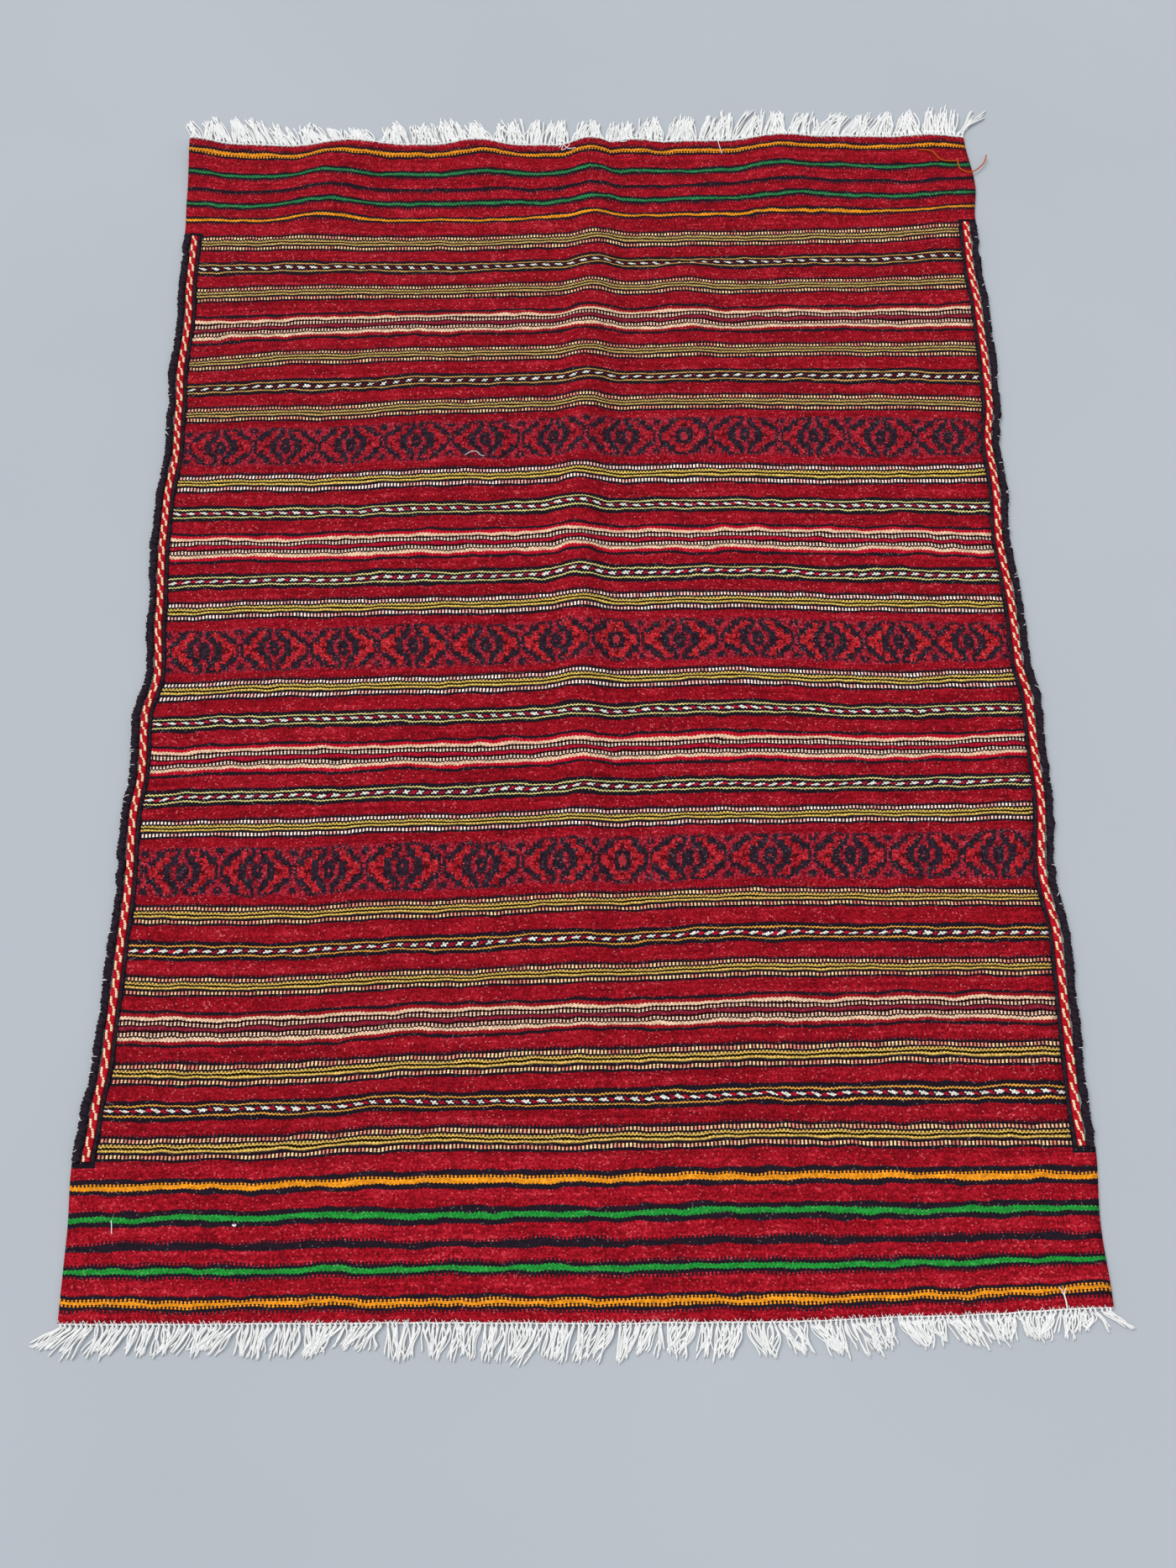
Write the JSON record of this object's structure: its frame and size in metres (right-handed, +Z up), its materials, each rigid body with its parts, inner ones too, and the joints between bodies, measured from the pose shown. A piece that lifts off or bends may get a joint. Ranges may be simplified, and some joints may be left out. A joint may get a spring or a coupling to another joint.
{
  "type": "kilim",
  "caption": "Flat-woven wool kilim lying on a floor, with rippled far end, lengthwise centre fold, corded sides and knotted white fringes.",
  "frame": {"origin": "middle of the rug's footprint, fringes included, on the floor", "axes": "+X across the rug, +Y along it towards the rippled end, +Z up off the floor"},
  "size_m": [1.2478, 1.808, 0.0182],
  "materials": {
    "field_wool": "woven wool, matte",
    "dark_goat_hair": "overcast goat hair, matte",
    "braid_wool": "wrapped wool, matte",
    "fringe_cotton": "plied cotton, matte"
  },
  "bodies": {
    "root": {"kilim_cloth": "field_wool", "edge_cord_left": "dark_goat_hair", "edge_cord_right": "dark_goat_hair", "edge_braid_left": "braid_wool", "edge_braid_right": "braid_wool", "edge_guard_left": "dark_goat_hair", "edge_guard_right": "dark_goat_hair", "fringe_far": "fringe_cotton", "fringe_near": "fringe_cotton"}
  },
  "joints": []
}
